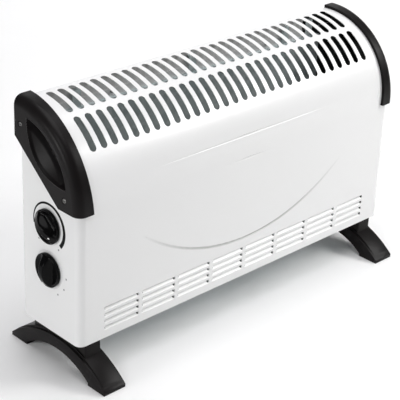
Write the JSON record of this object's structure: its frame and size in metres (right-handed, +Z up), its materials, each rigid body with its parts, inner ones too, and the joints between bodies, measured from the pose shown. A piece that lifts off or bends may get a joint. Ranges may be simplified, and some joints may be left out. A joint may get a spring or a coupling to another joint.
{
  "type": "fan convector heater",
  "caption": "White sheet-steel fan convector heater on black feet, with grip end caps, top slots, front louvres, side dials, and element and fan inside.",
  "frame": {"origin": "on the floor, under the middle of the whole heater's bounding box", "axes": "+X runs along the heater to the right as seen from the louvred front, -Y is the louvred front, +Z is up"},
  "size_m": [0.629, 0.2, 0.3755],
  "materials": {
    "white_steel": "white gloss powder coat on sheet steel",
    "galvanised_steel": "bright galvanised sheet, slightly spangled",
    "screw_steel": "zinc-plated steel",
    "black_plastic": "satin black moulding with a fine moulded texture",
    "gloss_black_plastic": "polished black moulding",
    "white_plastic": "plain white plastic",
    "spindle_plastic": "dark heat-resistant moulding",
    "mica": "pressed mica sheet",
    "resistance_wire": "open coils of resistance wire, dulled by heat",
    "ceramic": "unglazed white ceramic",
    "brass": "stamped brass",
    "lamination_steel": "stacked steel laminations",
    "enamelled_copper": "taped copper winding",
    "bearing_alloy": "die-cast bearing bridge",
    "fan_plastic": "black heat-resistant fan moulding",
    "brown_wire": "brown insulation",
    "blue_wire": "blue insulation",
    "earth_wire_green": "green and yellow insulation",
    "black_wire": "black heat-resistant sleeving"
  },
  "bodies": {
    "casing": {"front_shell": "white_steel", "back_panel": "white_steel", "base_grille": "galvanised_steel", "back_screws": "screw_steel", "base_screws": "screw_steel", "left_end_cap": "black_plastic", "right_end_cap": "black_plastic", "end_cap_screws": "screw_steel", "left_foot": "black_plastic", "right_foot": "black_plastic", "foot_screws": "screw_steel", "thermostat_body": "spindle_plastic", "selector_switch": "spindle_plastic", "bush_nuts": "screw_steel", "cord_inlet_bush": "black_plastic", "terminal_block": "white_plastic", "heat_shield": "galvanised_steel", "partition": "galvanised_steel", "end_plate": "galvanised_steel", "mica_cards": "mica", "element_rods": "screw_steel", "rod_nuts": "screw_steel", "lower_coils": "resistance_wire", "upper_coils": "resistance_wire", "left_insulators": "ceramic", "right_insulators": "ceramic", "coil_links": "brass", "shield_brackets": "galvanised_steel", "thermal_cutout": "spindle_plastic", "fan_bridge": "galvanised_steel", "motor_strap": "galvanised_steel", "motor_stator": "lamination_steel", "motor_winding": "enamelled_copper", "upper_bearing": "bearing_alloy", "lower_bearing": "bearing_alloy", "motor_screws": "screw_steel", "live_wire": "brown_wire", "neutral_wire": "blue_wire", "earth_wire": "earth_wire_green", "heater_wires": "black_wire", "thermostat_wire": "black_wire", "fan_wire": "black_wire"},
    "thermostat_dial": {"thermostat_knob": "gloss_black_plastic", "thermostat_pointer": "white_plastic", "thermostat_spindle": "spindle_plastic"},
    "selector_dial": {"selector_knob": "gloss_black_plastic", "selector_pointer": "white_plastic", "selector_spindle": "spindle_plastic"},
    "fan": {"fan_rotor": "lamination_steel", "fan_shaft": "screw_steel", "fan_impeller": "fan_plastic"}
  },
  "joints": [
    {"name": "thermostat_turn", "type": "hinge", "parent": "casing", "child": "thermostat_dial", "pos_m": [-0.299, 0.0035, 0.2135], "axis": [1, 0, 0], "range_deg": [-268, 17]},
    {"name": "selector_turn", "type": "hinge", "parent": "casing", "child": "selector_dial", "pos_m": [-0.299, 0.0035, 0.1495], "axis": [-1, 0, 0], "range_deg": [0, 90]},
    {"name": "fan_spin", "type": "hinge", "parent": "casing", "child": "fan", "pos_m": [0.0645, 0.003, 0.1], "axis": [0, 0, 1], "continuous": true}
  ]
}
